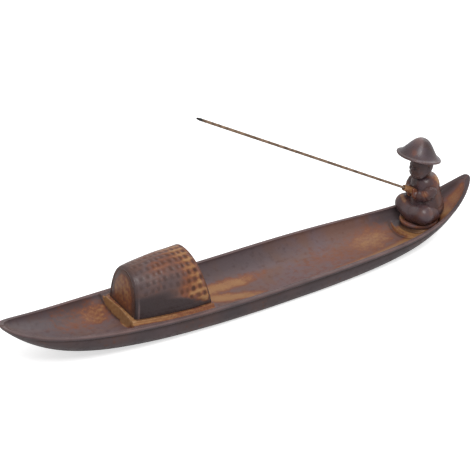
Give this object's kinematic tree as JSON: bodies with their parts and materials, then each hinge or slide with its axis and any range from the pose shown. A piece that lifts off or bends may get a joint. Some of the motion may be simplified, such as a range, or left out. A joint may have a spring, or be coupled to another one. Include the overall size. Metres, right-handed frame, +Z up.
{
  "type": "incense burner",
  "caption": "Glazed stoneware boat incense burner: long upswept hull with an ash trough, a woven-mat canopy and a seated fisherman whose rod is a stick of incense.",
  "frame": {"origin": "on the table under the middle of the hull, between the tips and between the rims", "axes": "+X along the hull to the stern, where the fisherman sits; +Z up; +Y to the fisherman's right"},
  "size_m": [0.3, 0.0496, 0.1132],
  "materials": {
    "hull_glaze": "satin dark brown glaze breaking ochre on edges",
    "mat_glaze": "satin dark glaze over ochre woven relief",
    "ochre_glaze": "satin ochre brown glaze",
    "figure_glaze": "satin dark mauve brown glaze",
    "incense": "matt pressed wood powder"
  },
  "bodies": {
    "boat": {"boat_hull": "hull_glaze", "canopy_roof": "mat_glaze", "canopy_front_wall": "ochre_glaze", "seat_pad": "hull_glaze", "legs": "figure_glaze", "torso": "figure_glaze", "left_arm": "figure_glaze", "right_arm": "figure_glaze", "hands": "ochre_glaze", "head": "figure_glaze", "hat": "figure_glaze"},
    "incense_stick": {"incense_stick": "incense"}
  },
  "joints": [
    {"name": "stick_pull", "type": "slide", "parent": "boat", "child": "incense_stick", "axis": [-0.8721, 0, 0.4894], "range_m": [0, 0.03]}
  ]
}
